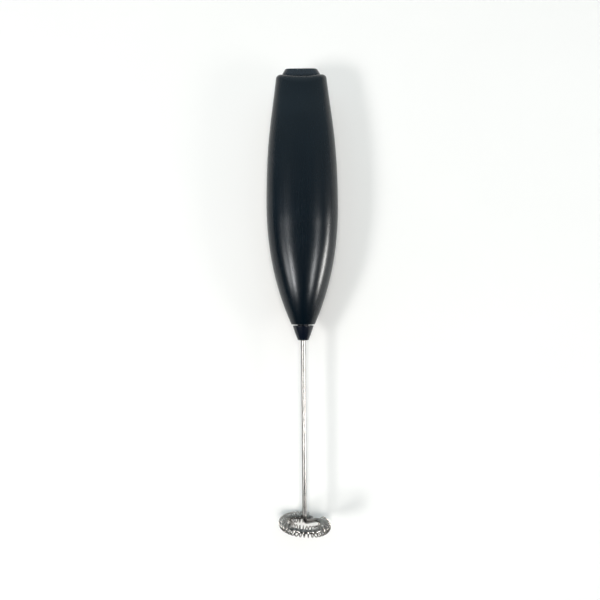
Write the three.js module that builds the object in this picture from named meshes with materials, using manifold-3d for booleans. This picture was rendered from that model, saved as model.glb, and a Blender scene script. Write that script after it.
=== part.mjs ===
// A battery milk frother lying on its back: +Y towards the push button, +Z up, +X across the handle.
// Millimetres. Inside the group, places along the handle are given as distances below its rim.
import * as THREE from 'three';
import { mergeVertices } from 'three/addons/utils/BufferGeometryUtils.js';
import Module from 'manifold-3d';

const wasm = await Module();
wasm.setup();

// ---------------------------------------------------------------- driving dimensions

const GAP = 0.3; // between pieces that touch
const RUN = 0.15; // around a shaft that turns in a bush

// cells and their contacts
const CELL_DIAMETER = 14.2;
const CELL_LENGTH = 50.2;
const CELL_NUB_DIAMETER = 5.5;
const CELL_NUB_LENGTH = 1.2;
const CELL_CHAMFER = 0.6;
const CELL_SPACING = 0.3; // between the two cells
const CONTACT_THICKNESS = 0.4;
const CONTACT_GAP = 0.2;
const CONTACT_SPRING_LENGTH = 3.2;
const CONTACT_WIRE = 0.5;
const CONTACT_SPRING_WIDE = 8.4;
const CONTACT_SPRING_NARROW = 5.2;

// motor
const MOTOR_LENGTH = 24.5;
const MOTOR_WIDTH = 20;
const MOTOR_THICKNESS = 15.4;
const MOTOR_SHAFT_DIAMETER = 2;
const MOTOR_SHAFT_REACH = 9.5;
const MOTOR_WALL = 0.7;
const MOTOR_CAP_LENGTH = 2.4;
const BUSH_DIAMETER = 4.6;
const BUSH_LENGTH = 2.2;
const ROTOR_LENGTH = 10;
const ROTOR_POLES = 3;
const WINDING_THICKNESS = 1.4;
const MAGNET_THICKNESS = 2;
const MAGNET_LENGTH = 14;
const AIR_GAP = 0.5;
const STRAP_THICKNESS = 0.8;
const STRAP_WIDTH = 6;
const STRAP_BELOW_MOTOR_BACK = 6; // to the strap's middle
const BRUSH_THICKNESS = 0.3;
const COMMUTATOR_DIAMETER = 4.4;
const COMMUTATOR_LENGTH = 2;

// button and switch
const BUTTON_WIDTH = 19.4;
const BUTTON_DEPTH = 11.7;
const BUTTON_RISE = 3;
const BUTTON_TRAVEL = 2;
const BUTTON_WALL = 1.5;
const BUTTON_BEVEL = 1;
const BUTTON_SKIRT = 1.4; // how far the button goes below the top wall
const WING_REACH = 1.3;
const WING_THICKNESS = 0.8;
const WING_WIDTH = 4.8;
const SWITCH_SIZE = 8.5;
const SWITCH_LENGTH = 8;
const SWITCH_BELOW_RIM = 8;
const PLUNGER_DIAMETER = 3;
const TERMINAL_LENGTH = 3.6;
const TERMINAL_THICKNESS = 0.5;
const TERMINAL_SPACE = 1.9; // below the terminals, for the leads
const BUTTON_SPRING_WIRE = 0.5;

// shells
const WALL = 1.2;
const TOP_WALL = 2;
const END_WALL = 1.6;
const SHELL_CLEARANCE = 0.3;
const BULGE = 2; // how much further out the widest place is than the cells ask for
const STRAP_BULGE = 2; // how much further out the widest place is than the motor's strap asks for
const DEPTH_SHARE = 0.762; // depth over width, above the motor
const FLAT_DEPTH = 0.25; // cut off the back's highest place, so that the handle lies on a flat
const SECTION_POWER = 2.3; // 2 is an ellipse
const RIM_ROUND = 1.6;
const DOME_FLATNESS = 2.6; // how much the dome's radius is over the rim's half depth
const DOME_LENGTH = 24;
const WIDEST_ABOVE_MOTOR = 17.8;
const CHEST_BELOW_RIM = 20.2; // where the upper curve is steered
const WIDEST_EASE = 34; // how far above and below it the widest place holds the curves
const END_EASE = 3.8; // how far above the lower end it is steered
const ROUNDING_ABOVE_CELLS_END = 3.6;
const END_REACH = 0.65; // how much further out the lower end is than the hub
const COVER_TOP = 8;
const NOSE_SPACE = 16.7; // motor's front to the shells' lower end
const HOOK_THICKNESS = 1.1;
const HOOK_REACH = 2.2;
const HOOK_X = [4, 7];
const TONGUE_THICKNESS = 0.8;
const TONGUE_LENGTH = 4;
const TONGUE_ABOVE_MOTOR_FRONT = 9;
const NOTCH_WIDTH = 4.8;
const NOTCH_DEPTH = 0.9;
const BULKHEAD = 2.8;
const LOWER_BULKHEAD = 1.2;
const CHEEK = 1.4; // the tray's walls beside the switch
const SPINE_THICKNESS = 1.4;
const WIRE_SPACE = 2.3;
const LEAD_DIAMETER = 1.3;
const SHELL_SIDES = 40;

// whisk
const HUB_GAP = 0.65;
const HUB_LENGTH = 7.3;
const HUB_TOP_DIAMETER = 10.5;
const HUB_TIP_DIAMETER = 5.9;
const HUB_SWELL = 0.1;
const NECK_DIAMETER = 5.6;
const NECK_CLEARANCE = 0.4;
const ROD_DIAMETER = 2.2;
const ROD_LENGTH = 92; // the hub's tip to the middle of the ring
const RING_DIAMETER = 20.7; // of the middle line of the coil
const COIL_DIAMETER = 6;
const COIL_WIRE = 0.6;
const COIL_TURNS = 31;
const RING_TILT = 5; // degrees
const ARM_ANGLE = -52; // degrees from +X towards +Z
const ARM_RISE = 1; // of the elbow over the ring's middle plane
const BEND_RADIUS = 2.6;
const ROD_END_GAP = 0.3; // radians between the ring's end and its arm
const COIL_START = 0.1; // radians from the arm's bend to the coil
const COIL_END_GAP = 0.32; // radians between the coil's end and the arm

// screws
const SCREW_DIAMETER = 1.6;
const SCREW_HEAD_DIAMETER = 2.8;
const SCREW_HEAD_HEIGHT = 1.1;
const BOSS_WALL = 0.8;
const SCREW_HOLE_DEPTH = 4.4;
const SCREW_GRIP = 5; // past the face that the head bears on

// ---------------------------------------------------------------- layout, from the rim downwards

const switchEnd = SWITCH_BELOW_RIM + SWITCH_LENGTH;
const bulkheadTop = switchEnd + TERMINAL_LENGTH + TERMINAL_SPACE;
const contactTop = bulkheadTop + BULKHEAD + GAP;
const cellsTop = contactTop + CONTACT_THICKNESS + CONTACT_GAP;
const cellsEnd = cellsTop + CELL_LENGTH + CONTACT_SPRING_LENGTH;
const bridgeTop = cellsEnd + CONTACT_GAP;
const lowerBulkheadTop = bridgeTop + CONTACT_THICKNESS + GAP;
const motorBack = lowerBulkheadTop + LOWER_BULKHEAD + WIRE_SPACE;
const motorFront = motorBack + MOTOR_LENGTH;
const handleLength = motorFront + NOSE_SPACE;
const hubTop = handleLength + HUB_GAP;
const hubTip = hubTop + HUB_LENGTH;
const ringBelow = hubTip + ROD_LENGTH;

const cellRadius = CELL_DIAMETER / 2;
const cellX = cellRadius + CELL_SPACING / 2;
const motorRadius = MOTOR_WIDTH / 2;
const shaftRadius = MOTOR_SHAFT_DIAMETER / 2;
const ringRadius = RING_DIAMETER / 2;
const coilRadius = COIL_DIAMETER / 2;
const leadRadius = LEAD_DIAMETER / 2;
const neckRadius = NECK_DIAMETER / 2;

// ---------------------------------------------------------------- the handle's outline

const fromWall = WALL + SHELL_CLEARANCE;
const strapSpot = {
  x: motorRadius + GAP + STRAP_THICKNESS + GAP + SCREW_HEAD_DIAMETER / 2,
  below: motorBack + STRAP_BELOW_MOTOR_BACK,
};
const cellNeed = cellX + cellRadius + fromWall;
const strapNeed = strapSpot.x + SCREW_HEAD_DIAMETER / 2 + fromWall;
const widestHalf = Math.max(cellNeed + BULGE, strapNeed + STRAP_BULGE);
const rimHalf = BUTTON_WIDTH / 2 + WING_REACH + fromWall;
const endHalf = HUB_TOP_DIAMETER / 2 + END_REACH;
const widestBelow = motorBack - WIDEST_ABOVE_MOTOR;
const domeRadius = rimHalf * DEPTH_SHARE + DOME_FLATNESS;

// The value at t of a cubic Bezier curve with the four control values given.
function bezier([a, b, c, d], t) {
  const u = 1 - t;
  return u * u * u * a + 3 * u * u * t * b + 3 * u * t * t * c + t * t * t * d;
}

// The t at which a rising cubic Bezier curve reaches a value.
function bezierTime(controls, value) {
  let low = 0;
  let high = 1;
  for (let i = 0; i < 40; i++) {
    const middle = (low + high) / 2;
    if (bezier(controls, middle) < value) low = middle;
    else high = middle;
  }
  return (low + high) / 2;
}

const upperBelow = [0, CHEST_BELOW_RIM, widestBelow - WIDEST_EASE, widestBelow];
const upperHalf = [rimHalf, chestHalf(), widestHalf, widestHalf];
const lowerBelow = [widestBelow, widestBelow + WIDEST_EASE, handleLength - END_EASE, handleLength];
const lowerHalf = [widestHalf, widestHalf, shoulderHalf(), endHalf];

// The upper curve's second control value, chosen so that the shells just clear the cells' upper shoulders.
function chestHalf() {
  const t = bezierTime(upperBelow, cellsTop + CELL_NUB_LENGTH);
  const others = bezier([rimHalf, 0, widestHalf, widestHalf], t);
  return Math.max((cellNeed - others) / (3 * (1 - t) * (1 - t) * t), rimHalf + 1);
}

// The lower curve's third control value, chosen so that the shells just clear the motor's front end, at
// its sides and at the corners where its flats begin.
function shoulderHalf() {
  const flat = MOTOR_THICKNESS / 2;
  const cornerX = Math.sqrt(motorRadius ** 2 - flat ** 2);
  const share = depthShare(motorFront);
  let wanted = motorRadius + fromWall;
  const cornerFits = () =>
    (cornerX / (wanted - fromWall)) ** 2 + (flat / (wanted * share - fromWall)) ** 2 < 1;
  while (!cornerFits()) wanted += 0.02;
  const t = bezierTime(lowerBelow, motorFront);
  const others = bezier([widestHalf, widestHalf, 0, endHalf], t);
  return (wanted - others) / (3 * (1 - t) * t * t);
}

function halfWidth(below) {
  if (below <= 0) return rimHalf;
  if (below < widestBelow) return bezier(upperHalf, bezierTime(upperBelow, below));
  return bezier(lowerHalf, bezierTime(lowerBelow, Math.min(below, handleLength)));
}

// 0 over the cells, 1 at the lower end, where the handle's section becomes round.
function rounding(below) {
  return THREE.MathUtils.smoothstep(below, cellsEnd - ROUNDING_ABOVE_CELLS_END, handleLength);
}

function depthShare(below) {
  return THREE.MathUtils.lerp(DEPTH_SHARE, 1, rounding(below));
}

function halfDepth(below) {
  return halfWidth(below) * depthShare(below);
}

const flatHeight = halfDepth(widestBelow) - FLAT_DEPTH;

// The top end is domed from front to back.
function domeDrop(z, below) {
  const flatPart = Math.min(Math.abs(z), domeRadius - 1);
  const drop = domeRadius - Math.sqrt(domeRadius ** 2 - flatPart ** 2);
  return drop * (1 - THREE.MathUtils.smoothstep(below, 0, DOME_LENGTH));
}

// How far a rounded-square section reaches in the direction of (x, z), where a circle reaches 1.
function reach(x, z, power) {
  const length = Math.hypot(x, z);
  if (length === 0) return 1;
  return (Math.abs(x / length) ** power + Math.abs(z / length) ** power) ** (-1 / power);
}

// ---------------------------------------------------------------- solids

// A closed geometry as a solid. Triangles that shrink to a line, as on a lathe's axis, are left out.
function solid(geometry) {
  const bare = new THREE.BufferGeometry();
  bare.setAttribute('position', geometry.getAttribute('position'));
  bare.setIndex(geometry.getIndex());
  const merged = mergeVertices(bare, 1e-4);
  const points = merged.getAttribute('position').array;
  const corners = merged.getIndex().array;
  const kept = [];
  for (let i = 0; i < corners.length; i += 3) {
    const [a, b, c] = corners.slice(i, i + 3);
    if (a !== b && b !== c && c !== a) kept.push(a, b, c);
  }
  if (signedVolume(points, kept) < 0) kept.reverse();
  const mesh = new wasm.Mesh({
    numProp: 3,
    vertProperties: new Float32Array(points),
    triVerts: new Uint32Array(kept),
  });
  return new wasm.Manifold(mesh);
}

function signedVolume(points, corners) {
  const [a, b, c] = [new THREE.Vector3(), new THREE.Vector3(), new THREE.Vector3()];
  let six = 0;
  for (let i = 0; i < corners.length; i += 3) {
    a.fromArray(points, corners[i] * 3);
    b.fromArray(points, corners[i + 1] * 3);
    c.fromArray(points, corners[i + 2] * 3);
    six += a.dot(b.cross(c));
  }
  return six;
}

const join = (first, ...rest) => rest.reduce((all, next) => all.add(next), first);
const cut = (first, ...rest) => rest.reduce((all, next) => all.subtract(next), first);
const common = (first, second) => first.intersect(second);

// A block between two values on X, two distances below the rim, and two values on Z.
function block([x0, x1], [top, end], [z0, z1]) {
  const geometry = new THREE.BoxGeometry(x1 - x0, end - top, z1 - z0);
  return solid(geometry.translate((x0 + x1) / 2, -(top + end) / 2, (z0 + z1) / 2));
}

// A turned piece on an axis along the handle. The profile lists [radius, below the rim].
function turned(profile, { x = 0, z = 0, sides = 24 } = {}) {
  const points = profile.map(([radius, below]) => new THREE.Vector2(radius, -below));
  return solid(new THREE.LatheGeometry(points, sides).translate(x, 0, z));
}

const rod = (radius, top, end, options) =>
  turned([[0, top], [radius, top], [radius, end], [0, end]], options);

const pipe = (inner, outer, top, end, options) =>
  turned([[inner, top], [outer, top], [outer, end], [inner, end], [inner, top]], options);

// A turned piece on an axis along Z, at a place on the handle. The profile lists [radius, z].
function upright(profile, x, below, sides = 16) {
  const points = profile.map(([radius, z]) => new THREE.Vector2(radius, z));
  const geometry = new THREE.LatheGeometry(points, sides).rotateX(Math.PI / 2);
  return solid(geometry.translate(x, -below, 0));
}

// A lathe about the handle's axis whose points are then moved: place(x, below, z) gives the new place.
function moulded(profile, place, sides = SHELL_SIDES) {
  const points = profile.map(([radius, below]) => new THREE.Vector2(radius, -below));
  const geometry = new THREE.LatheGeometry(points, sides);
  const spots = geometry.getAttribute('position');
  for (let i = 0; i < spots.count; i++) {
    const [x, below, z] = place(spots.getX(i), -spots.getY(i), spots.getZ(i));
    spots.setXYZ(i, x, -below, z);
  }
  return solid(geometry);
}

// The space that the handle fills, from one distance below the rim to another, with its surface moved
// in by an inset and its first edge rounded.
function handleBody(inset, top, end, round = 0) {
  const radius = (below) => {
    const left = Math.max(0, round - (below - top));
    return halfWidth(below) - inset - (round - Math.sqrt(round ** 2 - left ** 2));
  };
  const profile = [0, 0.3, 0.6, 0.85].map((share) => [share * radius(top), top]);
  const corner = round > 0 ? [0, 0.12, 0.4, 0.7] : [0];
  for (const share of corner) profile.push([radius(top + share * round), top + share * round]);
  const rows = 17;
  for (let i = 1; i <= rows; i++) {
    const below = THREE.MathUtils.lerp(top + Math.max(round, 0.01), end, i / rows);
    profile.push([radius(below), below]);
  }
  profile.push([0, end]);
  return moulded(profile, (x, below, z) => {
    const power = THREE.MathUtils.lerp(SECTION_POWER, 2, rounding(below));
    const out = reach(x, z, power);
    const share = (halfDepth(below) - inset) / (halfWidth(below) - inset);
    return [x * out, below + domeDrop(z * out * share, below), z * out * share];
  });
}

// A straight piece with the section of the button's oval.
function ovalBlock(halfX, halfZ, top, end) {
  const profile = [[0, top], [halfX, top], [halfX, end], [0, end]];
  return moulded(profile, (x, below, z) => {
    const out = reach(x, z, SECTION_POWER);
    return [x * out, below, (z * out * halfZ) / halfX];
  });
}

// A path that an extrusion follows point by point.
class StepPath extends THREE.Curve {
  constructor(points) {
    super();
    this.points = points;
  }

  getUtoTmapping(u) {
    return u;
  }

  getPoint(t, target = new THREE.Vector3()) {
    const place = THREE.MathUtils.clamp(t, 0, 1) * (this.points.length - 1);
    const index = Math.min(Math.floor(place), this.points.length - 2);
    return target.lerpVectors(this.points[index], this.points[index + 1], place - index);
  }
}

// Round wire along points.
function wire(points, radius, sides = 8) {
  const section = new THREE.Shape();
  for (let i = 0; i < sides; i++) {
    const angle = (2 * Math.PI * i) / sides;
    const [x, y] = [radius * Math.cos(angle), radius * Math.sin(angle)];
    if (i === 0) section.moveTo(x, y);
    else section.lineTo(x, y);
  }
  section.closePath();
  const steps = points.length - 1;
  return solid(new THREE.ExtrudeGeometry(section, { steps, extrudePath: new StepPath(points) }));
}

const at = (x, below, z) => new THREE.Vector3(x, -below, z);

// Points on a smooth line through a few places.
function smoothLine(places, steps) {
  return new THREE.CatmullRomCurve3(places, false, 'centripetal').getPoints(steps);
}

// A wire coil on an axis along the handle, whose radius changes evenly from its top to its end.
function coilSpring({ x, top, end, topRadius, endRadius, wireDiameter, turns }) {
  const stepsPerTurn = 10;
  const steps = turns * stepsPerTurn;
  const points = [];
  for (let i = 0; i <= steps; i++) {
    const angle = (2 * Math.PI * i) / stepsPerTurn;
    const radius = THREE.MathUtils.lerp(topRadius, endRadius, i / steps) - wireDiameter / 2;
    const below = THREE.MathUtils.lerp(top + wireDiameter / 2, end - wireDiameter / 2, i / steps);
    points.push(at(x + radius * Math.cos(angle), below, radius * Math.sin(angle)));
  }
  return wire(points, wireDiameter / 2, 5);
}

// ---------------------------------------------------------------- materials and nodes

const looks = {
  shell: { color: 0x16202a, roughness: 0.42, metalness: 0 },
  dark: { color: 0x101418, roughness: 0.35, metalness: 0 },
  frame: { color: 0x8c9096, roughness: 0.6, metalness: 0 },
  whitePlastic: { color: 0xdedcd2, roughness: 0.5, metalness: 0 },
  steel: { color: 0xb9bcc0, roughness: 0.25, metalness: 1 },
  zinc: { color: 0x9fa3a8, roughness: 0.4, metalness: 1 },
  nickel: { color: 0xc8c4b8, roughness: 0.3, metalness: 1 },
  copper: { color: 0xb4623a, roughness: 0.35, metalness: 1 },
  bronze: { color: 0x9a7446, roughness: 0.45, metalness: 1 },
  ferrite: { color: 0x3a3a3c, roughness: 0.8, metalness: 0 },
  cell: { color: 0x3d6b58, roughness: 0.35, metalness: 0.2 },
  red: { color: 0xa02420, roughness: 0.5, metalness: 0 },
  black: { color: 0x1a1a1a, roughness: 0.5, metalness: 0 },
};

const frother = new THREE.Group();
const handle = new THREE.Group();
frother.add(handle);

function add(name, body, look) {
  const { vertProperties, triVerts } = body.getMesh();
  const geometry = new THREE.BufferGeometry();
  geometry.setAttribute('position', new THREE.BufferAttribute(vertProperties, 3));
  geometry.setIndex(new THREE.BufferAttribute(triVerts, 1));
  geometry.computeVertexNormals();
  const mesh = new THREE.Mesh(geometry, new THREE.MeshStandardMaterial(looks[look]));
  mesh.name = name;
  handle.add(mesh);
}

const SIDES = [['left', -1], ['right', 1]];

// A range on X, mirrored for the left side.
const mirrored = (side, from, to) => (side > 0 ? [from, to] : [-to, -from]);

// ---------------------------------------------------------------- shells

const bossRadius = SCREW_DIAMETER / 2 + GAP + BOSS_WALL;
const traySpot = { x: SWITCH_SIZE / 2 + GAP + CHEEK + GAP + bossRadius, below: switchEnd + 3 };
const bossBottom = { tray: 1 + GAP, strap: GAP };
const FAR = 60; // past every surface of the handle

// A boss on the inside of the front shell with the screw's hole in it.
function boss(x, below, bottom) {
  const hole = SCREW_DIAMETER / 2 + GAP;
  const full = upright([[0, bottom], [bossRadius, bottom], [bossRadius, FAR], [0, FAR]], x, below);
  const inside = common(full, handleBody(WALL / 2, TOP_WALL / 2, handleLength - END_WALL / 2));
  const blind = bottom + SCREW_HOLE_DEPTH;
  return cut(inside, upright([[0, bottom - 1], [hole, bottom - 1], [hole, blind], [0, blind]], x, below));
}

function shells() {
  const outside = handleBody(0, 0, handleLength, RIM_ROUND);
  const hollow = handleBody(WALL, TOP_WALL, handleLength - END_WALL);
  const neckHole = rod(neckRadius + NECK_CLEARANCE, handleLength - 2 * END_WALL, handleLength + 1);
  const halfX = BUTTON_WIDTH / 2 + GAP;
  const halfZ = BUTTON_DEPTH / 2 + GAP;
  const buttonHole = ovalBlock(halfX, halfZ, -1, TOP_WALL + 5);
  const underFlat = block([-FAR, FAR], [0, handleLength], [-FAR, -flatHeight]);
  const shell = cut(outside, hollow, neckHole, buttonHole, underFlat);
  const coverPlace = block([-FAR, FAR], [COVER_TOP, handleLength + 1], [-FAR, GAP / 2]);
  const coverBlock = block([-FAR, FAR], [COVER_TOP + GAP, handleLength + 1], [-FAR, -GAP / 2]);
  const bosses = SIDES.flatMap(([, side]) => [
    boss(side * traySpot.x, traySpot.below, bossBottom.tray),
    boss(side * strapSpot.x, strapSpot.below, bossBottom.strap),
  ]);
  add('front_shell', join(cut(shell, coverPlace), ...bosses), 'shell');
  add('rear_cover', cut(join(common(shell, coverBlock), ...hooks(), ...tongues()), pryNotch()), 'shell');
}

// A layer of the handle's inside that starts at one inset from its surface and is as thick as asked.
function liner(inset, end) {
  const room = [TOP_WALL, handleLength - END_WALL];
  return cut(handleBody(inset, ...room), handleBody(end, ...room));
}

// Two tabs that reach under the front shell's ring and hook the cover's top end.
function hooks() {
  const inner = WALL + GAP + HOOK_THICKNESS;
  const layer = liner(WALL + GAP, inner);
  const root = liner(WALL / 2, inner);
  return SIDES.map(([, side]) => {
    const xs = mirrored(side, ...HOOK_X);
    const tab = common(layer, block(xs, [COVER_TOP - HOOK_REACH, COVER_TOP + 3], [-FAR, -2]));
    const foot = common(root, block(xs, [COVER_TOP + 2, COVER_TOP + 3.5], [-FAR, -2]));
    return join(tab, foot);
  });
}

// Two tongues that line the cover's long edges up with the front shell, beside the motor's front half.
function tongues() {
  const top = motorFront - TONGUE_ABOVE_MOTOR_FRONT;
  const along = [top, top + TONGUE_LENGTH];
  const inner = WALL + GAP + TONGUE_THICKNESS;
  const layer = liner(WALL + GAP, inner);
  const root = liner(WALL / 2, inner);
  return SIDES.map(([, side]) => {
    const xs = mirrored(side, 2, FAR);
    const tongue = common(layer, block(xs, along, [-2, 1.4]));
    const foot = common(root, block(xs, along, [-2.4, -1]));
    return join(tongue, foot);
  });
}

// The notch at the cover's lower end, for a fingernail or a coin.
function pryNotch() {
  const outer = halfDepth(handleLength);
  const zs = [-outer - 1, -outer + NOTCH_DEPTH];
  return block([-NOTCH_WIDTH / 2, NOTCH_WIDTH / 2], [handleLength - 1, handleLength + 1], zs);
}

// ---------------------------------------------------------------- button and switch

function buttonCap() {
  const half = BUTTON_WIDTH / 2;
  const share = BUTTON_DEPTH / BUTTON_WIDTH;
  const topHalf = half - 0.35 - BUTTON_BEVEL;
  const skirt = TOP_WALL + BUTTON_SKIRT;
  const ceiling = BUTTON_WALL + 0.4 - BUTTON_RISE;
  const inner = half - BUTTON_WALL;
  const profile = [
    [0, -BUTTON_RISE],
    [topHalf * 0.35, -BUTTON_RISE],
    [topHalf * 0.7, -BUTTON_RISE],
    [topHalf, -BUTTON_RISE],
    [topHalf + 0.25, 0.12 - BUTTON_RISE],
    [half - 0.3, BUTTON_BEVEL * 1.7 - BUTTON_RISE],
    [half, 0],
    [half, skirt],
    [inner, skirt],
    [inner, ceiling],
    [inner * 0.7, ceiling],
    [inner * 0.35, ceiling],
    [0, ceiling],
  ];
  const cap = moulded(profile, (x, below, z) => {
    const out = reach(x, z, SECTION_POWER);
    const depth = z * out * share;
    return [x * out, below + domeDrop(depth, below), depth];
  });
  const wingAlong = [TOP_WALL + 0.8, TOP_WALL + 0.8 + WING_THICKNESS];
  const wings = SIDES.map(([, side]) =>
    block(mirrored(side, half - 0.8, half + WING_REACH), wingAlong, [-WING_WIDTH / 2, WING_WIDTH / 2]),
  );
  add('button_cap', join(cap, ...wings), 'dark');
  return ceiling;
}

function powerSwitch(ceiling) {
  const half = SWITCH_SIZE / 2;
  const plungerRadius = PLUNGER_DIAMETER / 2;
  const bore = plungerRadius + RUN;
  const plungerEnd = SWITCH_BELOW_RIM + 2.5;
  const body = block([-half, half], [SWITCH_BELOW_RIM, switchEnd], [-half, half]);
  const boreEnd = plungerEnd + BUTTON_TRAVEL + 1;
  add('switch_housing', cut(body, rod(bore, SWITCH_BELOW_RIM - 1, boreEnd)), 'black');
  add('switch_plunger', rod(plungerRadius, ceiling + GAP, plungerEnd, { sides: 16 }), 'whitePlastic');
  const spring = coilSpring({
    x: 0,
    top: ceiling + GAP,
    end: SWITCH_BELOW_RIM - GAP,
    topRadius: plungerRadius + 1.2,
    endRadius: plungerRadius + 1.2,
    wireDiameter: BUTTON_SPRING_WIRE,
    turns: 5,
  });
  add('button_spring', spring, 'steel');
  for (const [name, side] of SIDES) {
    const lugAlong = [switchEnd + GAP, switchEnd + TERMINAL_LENGTH];
    const lugZ = [-TERMINAL_THICKNESS / 2, TERMINAL_THICKNESS / 2];
    const lug = block(mirrored(side, 1.4, 3.4), lugAlong, lugZ);
    add(`switch_terminal_${name}`, lug, 'nickel');
  }
}

// ---------------------------------------------------------------- battery tray, contacts and cells

// How far in front of and behind the axis the leads lie between the cells.
const valleyZ = Math.sqrt((cellRadius + leadRadius + GAP) ** 2 - cellX ** 2) + 1.4;
const leadHole = leadRadius + 0.45;
const tabX = [3, 5];
const tabZ = [-6.4, -6];

function batteryTray() {
  const half = SWITCH_SIZE / 2;
  const inside = handleBody(fromWall, TOP_WALL, handleLength - END_WALL);
  const upper = common(inside, block([-FAR, FAR], [bulkheadTop, bulkheadTop + BULKHEAD], [-FAR, FAR]));
  const lowerEnd = lowerBulkheadTop + LOWER_BULKHEAD;
  const lower = common(inside, block([-FAR, FAR], [lowerBulkheadTop, lowerEnd], [-FAR, FAR]));
  const spineZ = [cellRadius + 0.4, cellRadius + 0.4 + SPINE_THICKNESS];
  const spine = common(inside, block([-6, 6], [bulkheadTop + 1, lowerEnd], spineZ));
  const cheeks = SIDES.map(([, side]) => {
    const cheekX = [half + GAP, half + GAP + CHEEK];
    const cheek = block(mirrored(side, ...cheekX), [SWITCH_BELOW_RIM + 1, bulkheadTop + 1], [-half, half]);
    const ledgeX = mirrored(side, half - 0.55, half + GAP + 0.5);
    const ledge = block(ledgeX, [switchEnd + GAP, switchEnd + GAP + 1.2], [-half, half]);
    const earX = mirrored(side, half + GAP + 1, traySpot.x + 2.5);
    const ear = block(earX, [traySpot.below - 2.4, bulkheadTop + 1], [-1, 1]);
    const hole = screwHole(side * traySpot.x, traySpot.below);
    return cut(join(cheek, ledge, ear), hole);
  });
  const tabSlot = block(
    [tabX[0] - GAP, tabX[1] + GAP],
    [bulkheadTop - 1, bulkheadTop + BULKHEAD + 1],
    [tabZ[0] - GAP, tabZ[1] + GAP],
  );
  const upperHole = rod(leadHole, bulkheadTop - 1, bulkheadTop + BULKHEAD + 1, { z: -valleyZ, sides: 12 });
  const lowerHoles = [-1, 1].map((face) =>
    rod(leadHole, lowerBulkheadTop - 1, lowerEnd + 1, { z: face * valleyZ, sides: 12 }),
  );
  add('battery_tray', cut(join(upper, lower, spine, ...cheeks), tabSlot, upperHole, ...lowerHoles), 'frame');
}

function cells() {
  const nubRadius = CELL_NUB_DIAMETER / 2;
  const chamfer = CELL_CHAMFER;
  // A cell's outline from its nub's tip, whose direction along the handle is 1 or -1.
  const outline = (tip, way) => [
    [0, tip],
    [nubRadius, tip],
    [nubRadius, tip + way * CELL_NUB_LENGTH],
    [cellRadius - chamfer, tip + way * CELL_NUB_LENGTH],
    [cellRadius, tip + way * (CELL_NUB_LENGTH + chamfer)],
    [cellRadius, tip + way * (CELL_LENGTH - chamfer / 2)],
    [cellRadius - chamfer / 2, tip + way * CELL_LENGTH],
    [0, tip + way * CELL_LENGTH],
  ];
  add('cell_right', turned(outline(cellsTop, 1), { x: cellX, sides: 28 }), 'cell');
  add('cell_left', turned(outline(cellsEnd, -1), { x: -cellX, sides: 28 }), 'cell');
}

function contacts() {
  const plateX = [1.5, cellX + 4.7];
  const plateZ = [-5.5, 5.5];
  const plateEnd = contactTop + CONTACT_THICKNESS;
  const plate = block(plateX, [contactTop, plateEnd], plateZ);
  const foot = block(tabX, [contactTop, plateEnd], [tabZ[0], plateZ[0] + 1]);
  const tab = block(tabX, [bulkheadTop - 1.6, plateEnd], tabZ);
  add('positive_contact', join(plate, foot, tab), 'nickel');
  add('negative_contact', block([-plateX[1], -plateX[0] + 0.3], [contactTop, plateEnd], plateZ), 'nickel');
  const bridgeZ = valleyZ - leadRadius - 2.5 * GAP;
  const bridgeEnd = bridgeTop + CONTACT_THICKNESS;
  const bridge = block([-plateX[1], plateX[1]], [bridgeTop, bridgeEnd], [-bridgeZ, bridgeZ]);
  add('bridge_plate', bridge, 'nickel');
  const springs = { wireDiameter: CONTACT_WIRE, turns: 3 };
  const wide = CONTACT_SPRING_WIDE / 2;
  const narrow = CONTACT_SPRING_NARROW / 2;
  const upper = { x: -cellX, top: cellsTop, end: cellsTop + CONTACT_SPRING_LENGTH - CONTACT_GAP };
  const lower = { x: cellX, top: cellsEnd - CONTACT_SPRING_LENGTH + CONTACT_GAP, end: cellsEnd };
  add('upper_spring', coilSpring({ ...springs, ...upper, topRadius: wide, endRadius: narrow }), 'nickel');
  add('lower_spring', coilSpring({ ...springs, ...lower, topRadius: narrow, endRadius: wide }), 'nickel');
}

// ---------------------------------------------------------------- motor

const capEnd = motorBack + MOTOR_CAP_LENGTH;
const rotorTop = capEnd + 4.8;
const brushX = COMMUTATOR_DIAMETER / 2 + GAP;
const tabOut = motorRadius - 3.3; // where the motor's terminals stand, across
const terminalZ = [-5.5, -3.8];

// A straight piece with the motor's section: round, with two flats.
function motorBlock(grow, top, end) {
  const flat = MOTOR_THICKNESS / 2 + grow;
  const round = rod(motorRadius + grow, top, end, { sides: 36 });
  return common(round, block([-FAR, FAR], [top, end], [-flat, flat]));
}

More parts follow.
